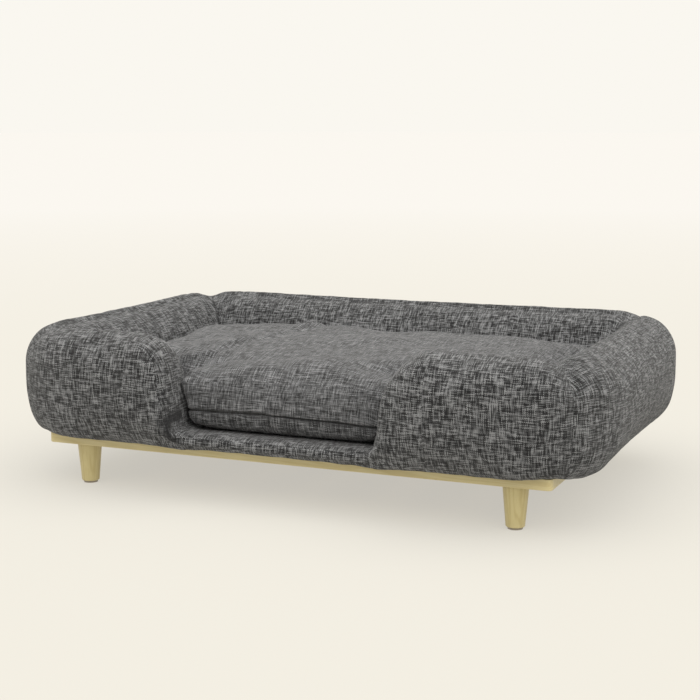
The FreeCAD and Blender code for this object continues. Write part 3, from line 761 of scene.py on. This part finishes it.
centres = centres_of(cushion)
pick(cushion, (centres[:, 1] < TONGUE_BACK + 0.001) & (centres[:, 2] > OVERHANG_FOOT), "FACE")
bpy.ops.mesh.extrude_region_move(TRANSFORM_OT_translate={"value": (0, low.y - TONGUE_BACK + 0.006, 0)})
at = points_of(cushion)
tongue = at[:, 1] < FRONT - 0.01
tongue_top = tongue & (at[:, 2] > 0.15)
at[tongue_top, 2] -= np.where(at[tongue_top, 1] < TONGUE_BACK, 0.010, 0.0)
move_points(cushion, at)


def edges_where(piece, test):
    """A mask of its edges whose two ends pass the test."""
    at, ends = points_of(piece), ends_of(piece)
    return test(at[ends[:, 0]], at[ends[:, 1]])


in_order(cushion)
pick(cushion, edges_where(cushion, lambda one, two: (np.abs(one[:, 2] - two[:, 2]) > 0.005)
                          & ((np.abs(one[:, 0]) > 0.2) & (np.abs(one[:, 1]) > BACK - 0.02)
                             | (one[:, 1] < TONGUE_BACK - 0.02))), "EDGE")
bpy.ops.mesh.bevel(offset=0.014, segments=4, affect="EDGES")
for way, level, radius, steps in ((1, 0.8, 0.022, 3), (-1, 0.9, 0.010, 2)):
    in_order(cushion)
    pick(cushion, way * facing_of(cushion)[:, 2] > level, "FACE")
    bpy.ops.mesh.region_to_loop()
    bpy.ops.mesh.bevel(offset=radius, segments=steps, affect="EDGES")
in_order(cushion)
remesh = cushion.modifiers.new("even", "REMESH")
remesh.mode, remesh.voxel_size = "VOXEL", 0.0061
apply(cushion, remesh)
in_order(cushion)
at = points_of(cushion)
crown = (1 - (at[:, 0] / SIDE_X) ** 4) * (1 - np.clip((at[:, 1] + 0.02) / 0.24, -1, 1) ** 4)
up = smoothstep(low.z + 0.04, high.z - 0.012, at[:, 2])
at[:, 2] += 0.008 * up * crown


def between_ends(places):
    """How far out the tongue may reach at each place, between the leaning ends of the wall."""
    rise = places[:, 2] - FOOT
    return np.where(places[:, 0] < 0, 0.1555 + 0.18 * rise, 0.1490 + 0.125 * rise)


# the tongue is widened to fill the entrance, and the stuffing presses it against the wall's ends
in_tongue = 1 - smoothstep(FRONT - 0.006, FRONT + 0.012, at[:, 1])
at[:, 0] *= 1 + in_tongue * ((between_ends(at) - 0.003 + 0.012 * up) / TONGUE_X - 1)
move_points(cushion, at)
was = at
firm = np.where(at[:, 2] < low.z + 0.001, 1.0, 0.0)
puff(cushion, firm, 0.012, pressure=2.0, slack=0.012)
at = points_of(cushion)
was_tongue = was[:, 1] < FRONT - 0.002
reach_x = np.where(was_tongue, between_ends(at), SIDE_X)
at[:, 0] = np.clip(at[:, 0], -reach_x, reach_x)
at[:, 1] = np.clip(at[:, 1], np.where(was_tongue, low.y - 0.004, FRONT), BACK)
over_lip = (at[:, 1] < TONGUE_BACK - 0.001) & (was[:, 2] > OVERHANG_FOOT - 0.004)
at[:, 2] = np.maximum(at[:, 2], np.where(over_lip, OVERHANG_FOOT - 0.001, low.z))
at[:, 1] = np.where(~over_lip, np.maximum(at[:, 1], TONGUE_BACK), at[:, 1])


def ridge(places, points, height, width):
    """How high each place is lifted by a ridge along a line of points."""
    nearest = np.full(len(places), 1.0)
    for start, stop in zip(points[:-1], points[1:]):
        start, stop = np.array(start), np.array(stop)
        run = stop - start
        part = np.clip(((places - start) @ run) / (run @ run), 0, 1)
        nearest = np.minimum(nearest, np.linalg.norm(places - start - part[:, None] * run, axis=1))
    return height * (np.exp(-(nearest / width) ** 2) - 0.5 * np.exp(-(nearest / (3 * width)) ** 2))


# the rumples: two pinched ridges with soft hollows beside them, and low swells all over
LONG_RUMPLE = ((-0.216, -0.184), (-0.174, -0.166), (-0.164, -0.095), (-0.154, -0.033), (-0.153, 0.054),
               (-0.160, 0.116), (-0.138, 0.165))
SHORT_RUMPLE = ((-0.156, -0.201), (-0.151, -0.156))
up = smoothstep(high.z - 0.03, high.z - 0.012, at[:, 2])
pinches = ridge(at[:, :2], LONG_RUMPLE, 0.009, 0.010) + ridge(at[:, :2], SHORT_RUMPLE, 0.006, 0.008)
at[:, 2] += up * pinches
swells = (np.sin(at[:, 0] * 19 + 1.1) * np.sin(at[:, 1] * 23 + 0.4) * 0.003
          + np.sin(at[:, 0] * 43 + at[:, 1] * 31) * 0.0015
          + np.sin(at[:, 1] * 57 - at[:, 0] * 29 + 2) * 0.0012)
at[:, 2] += up * swells
move_points(cushion, at)

# the seam round the cover is drawn in between the two panels, and at the back it holds the zip in a pocket
SEAM_BASE, SEAM_TILT = 0.1248, np.array([-0.012, -0.022])


def seam_height(places):
    """The seam's height, which wanders a little round the cover and is arched across its front."""
    wander = 0.0008 * np.sin(places[:, 0] * 55) * np.sin(places[:, 1] * 47)
    arch = 0.005 * np.cos(np.clip(places[:, 0] / 0.16, -1, 1) * math.pi / 2) * (places[:, 1] < FRONT)
    return SEAM_BASE + places[:, :2] @ SEAM_TILT + wander + arch


for offset in (-0.0024, 0.0, 0.0024):
    pick(cushion)
    bpy.ops.mesh.bisect(plane_co=(0, 0, SEAM_BASE + offset), plane_no=(-SEAM_TILT[0], -SEAM_TILT[1], 1))
zip_low, zip_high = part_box("cushion_zip_tape")
for cut, across in (((0, 0, zip_low.z), (0, 0, 1)), ((0, 0, zip_high.z), (0, 0, 1)),
                    ((zip_low.x, 0, 0), (1, 0, 0)), ((zip_high.x, 0, 0), (1, 0, 0))):
    pick(cushion)
    bpy.ops.mesh.bisect(plane_co=cut, plane_no=across)
at = points_of(cushion)
off_seam = np.abs(at[:, 2] - (SEAM_BASE + at[:, :2] @ SEAM_TILT))
facing = read(cushion.data.vertices, "normal", 3) * (1, 1, 0)
by_zip = (at[:, 1] > BACK - 0.02) & (np.abs(at[:, 0]) < zip_high.x + 0.004)
on_side = (off_seam < 0.0002) & (np.linalg.norm(facing, axis=1) > 0.6) & ~by_zip
at[on_side] -= 0.0055 * facing[on_side]
at[:, 2] += np.where(off_seam < 0.004, seam_height(at) - (SEAM_BASE + at[:, :2] @ SEAM_TILT), 0) * ~by_zip
move_points(cushion, at)
# how far each point is from the seam, which the cloth reads for its groove and the painted shade in it; none
# by the zip
note(cushion, "seam", np.where(by_zip, 1.0, off_seam))
centres = centres_of(cushion)
facing = facing_of(cushion)
pick(cushion, (facing[:, 1] > 0.7) & (centres[:, 1] > BACK - 0.006) & (np.abs(centres[:, 0]) < zip_high.x)
     & (centres[:, 2] > zip_low.z) & (centres[:, 2] < zip_high.z), "FACE")
bpy.ops.mesh.extrude_region_move(TRANSFORM_OT_translate={"value": (0, -0.010, 0)})
all_off()
flat_map(cushion, high.z)
refine(cushion)
finer = cloth("cushion_cloth", light=(0.340, 0.345, 0.360), dark=(0.006, 0.006, 0.007), contrast=2.9,
              yarn=0.0012, slub=0.020, relief=0.0004, seams=True)
cushion.data.materials.append(finer)
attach(cushion, "cushion")
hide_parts("cushion_filling", "cushion_top_cover", "cushion_bottom_cover")


# ---------------------------------------------------------------- zips
# Nylon coil zips on woven tape, one low across the back of the wall and one across the back of the
# cushion. The sliders, the tab and the end stops are dark painted metal.

tape_cloth = fuzz("zip_tape", (0.010, 0.010, 0.011), (0.045, 0.045, 0.048), 3800.0)
dark_metal = metal("zip_metal", (0.16, 0.16, 0.165), 0.32)
nylon, shader, tone = finish("zip_nylon", specular=0.5)
gloss = noise(place(tone, (1, 1, 1)), 1500.0)
shade = gloss.mixed((0.016, 0.016, 0.018, 1), (0.034, 0.034, 0.037, 1))
connect(shader, shade, gloss * 0.2 + 0.3, gloss, 0.00003)
PITCH, TOOTH = 0.0022, 0.0013                         # from one tooth to the next in a row, and its width
for zip_name, rides_on in (("bolster_zip", "bed"), ("cushion_zip", "cushion")):
    give(zip_name + "_tape", tape_cloth)
    give(zip_name + "_stops", dark_metal)
    give(zip_name + "_slider", dark_metal)
    low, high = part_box(zip_name + "_coil")
    rows = []
    for row, height in enumerate((0.34, 0.66)):
        all_off()
        bpy.ops.mesh.primitive_cube_add(size=1)
        tooth = bpy.context.object
        centre = (low.x + PITCH * (0.5 + row * 0.5), (low.y + high.y) / 2, low.z + (high.z - low.z) * height)
        move_points(tooth, points_of(tooth) * (TOOTH, high.y - low.y, (high.z - low.z) * 0.62) + centre)
        pick(tooth)
        bpy.ops.mesh.bevel(offset=0.00035, segments=1, affect="EDGES")
        all_off()
        repeat = tooth.modifiers.new("teeth", "ARRAY")
        repeat.use_relative_offset, repeat.use_constant_offset = False, True
        repeat.constant_offset_displace = (PITCH, 0, 0)
        repeat.count = int((high.x - low.x) / PITCH) - 1
        apply(tooth, repeat)
        rows.append(tooth)
    for tooth in rows:
        tooth.select_set(True)
    bpy.ops.object.join()
    coil = bpy.context.object
    coil.name = zip_name + "_teeth"
    coil.data.materials.append(nylon)
    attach(coil, rides_on)
    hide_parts(zip_name + "_coil")
give("bolster_zip_tab", dark_metal)


# ---------------------------------------------------------------- camera, light and floor
# A plain pale studio floor that meets a pale surround, lit from all round and softly from above.

all_off()
bpy.ops.mesh.primitive_circle_add(vertices=96, radius=80.0, fill_type="NGON")
floor = bpy.context.object
floor.name = "studio_floor"
pick(floor)
bpy.ops.mesh.inset(thickness=70.0)
all_off()
material, shader, tone = finish("studio_floor", specular=0.0)
shader.inputs["Emission Color"].default_value = (1.0, 0.97, 0.90, 1)
shader.inputs["Emission Strength"].default_value = 0.50
where = place(tone, (1, 1, 0))
outlying = ((where.node("VectorMath", {"operation": "LENGTH"}, {0: where}, 1) - 1.5) / 6.0).clamped(0.0, 1.0)
mottle = noise(place(tone, (1, 1, 1)), 2.0) * 0.02
shade = (outlying + mottle).mixed((0.2175, 0.209, 0.185, 1), (0.2505, 0.246, 0.244, 1))
connect(shader, shade, mottle + 0.85)
floor.data.materials.append(material)

world = bpy.data.worlds.new("studio")
world.use_nodes = True
world.node_tree.nodes["Background"].inputs["Color"].default_value = (0.956, 0.930, 0.870, 1)
bpy.context.scene.world = world


def lamp(name, towards, power, spread):
    """A distant soft light."""
    light = bpy.data.lights.new(name, "SUN")
    light.energy, light.angle, light.color = power, math.radians(spread), (1.0, 0.985, 0.95)
    made = bpy.data.objects.new(name, light)
    made.rotation_euler = Vector(towards).to_track_quat("-Z", "Y").to_euler()
    bpy.context.collection.objects.link(made)


lamp("overhead", (-0.15, 0.14, -1.0), 2.9, 100)

lens = bpy.data.cameras.new("camera")
lens.lens, lens.sensor_width = 75.5, 36.0
camera = bpy.data.objects.new("camera", lens)
camera.location = (0.9124, -2.1670, 0.5588)
camera.rotation_euler = (math.radians(90 - 8.81), 0, math.radians(23.07))
bpy.context.collection.objects.link(camera)
bpy.context.scene.camera = camera
bpy.context.scene.view_settings.view_transform = "Standard"
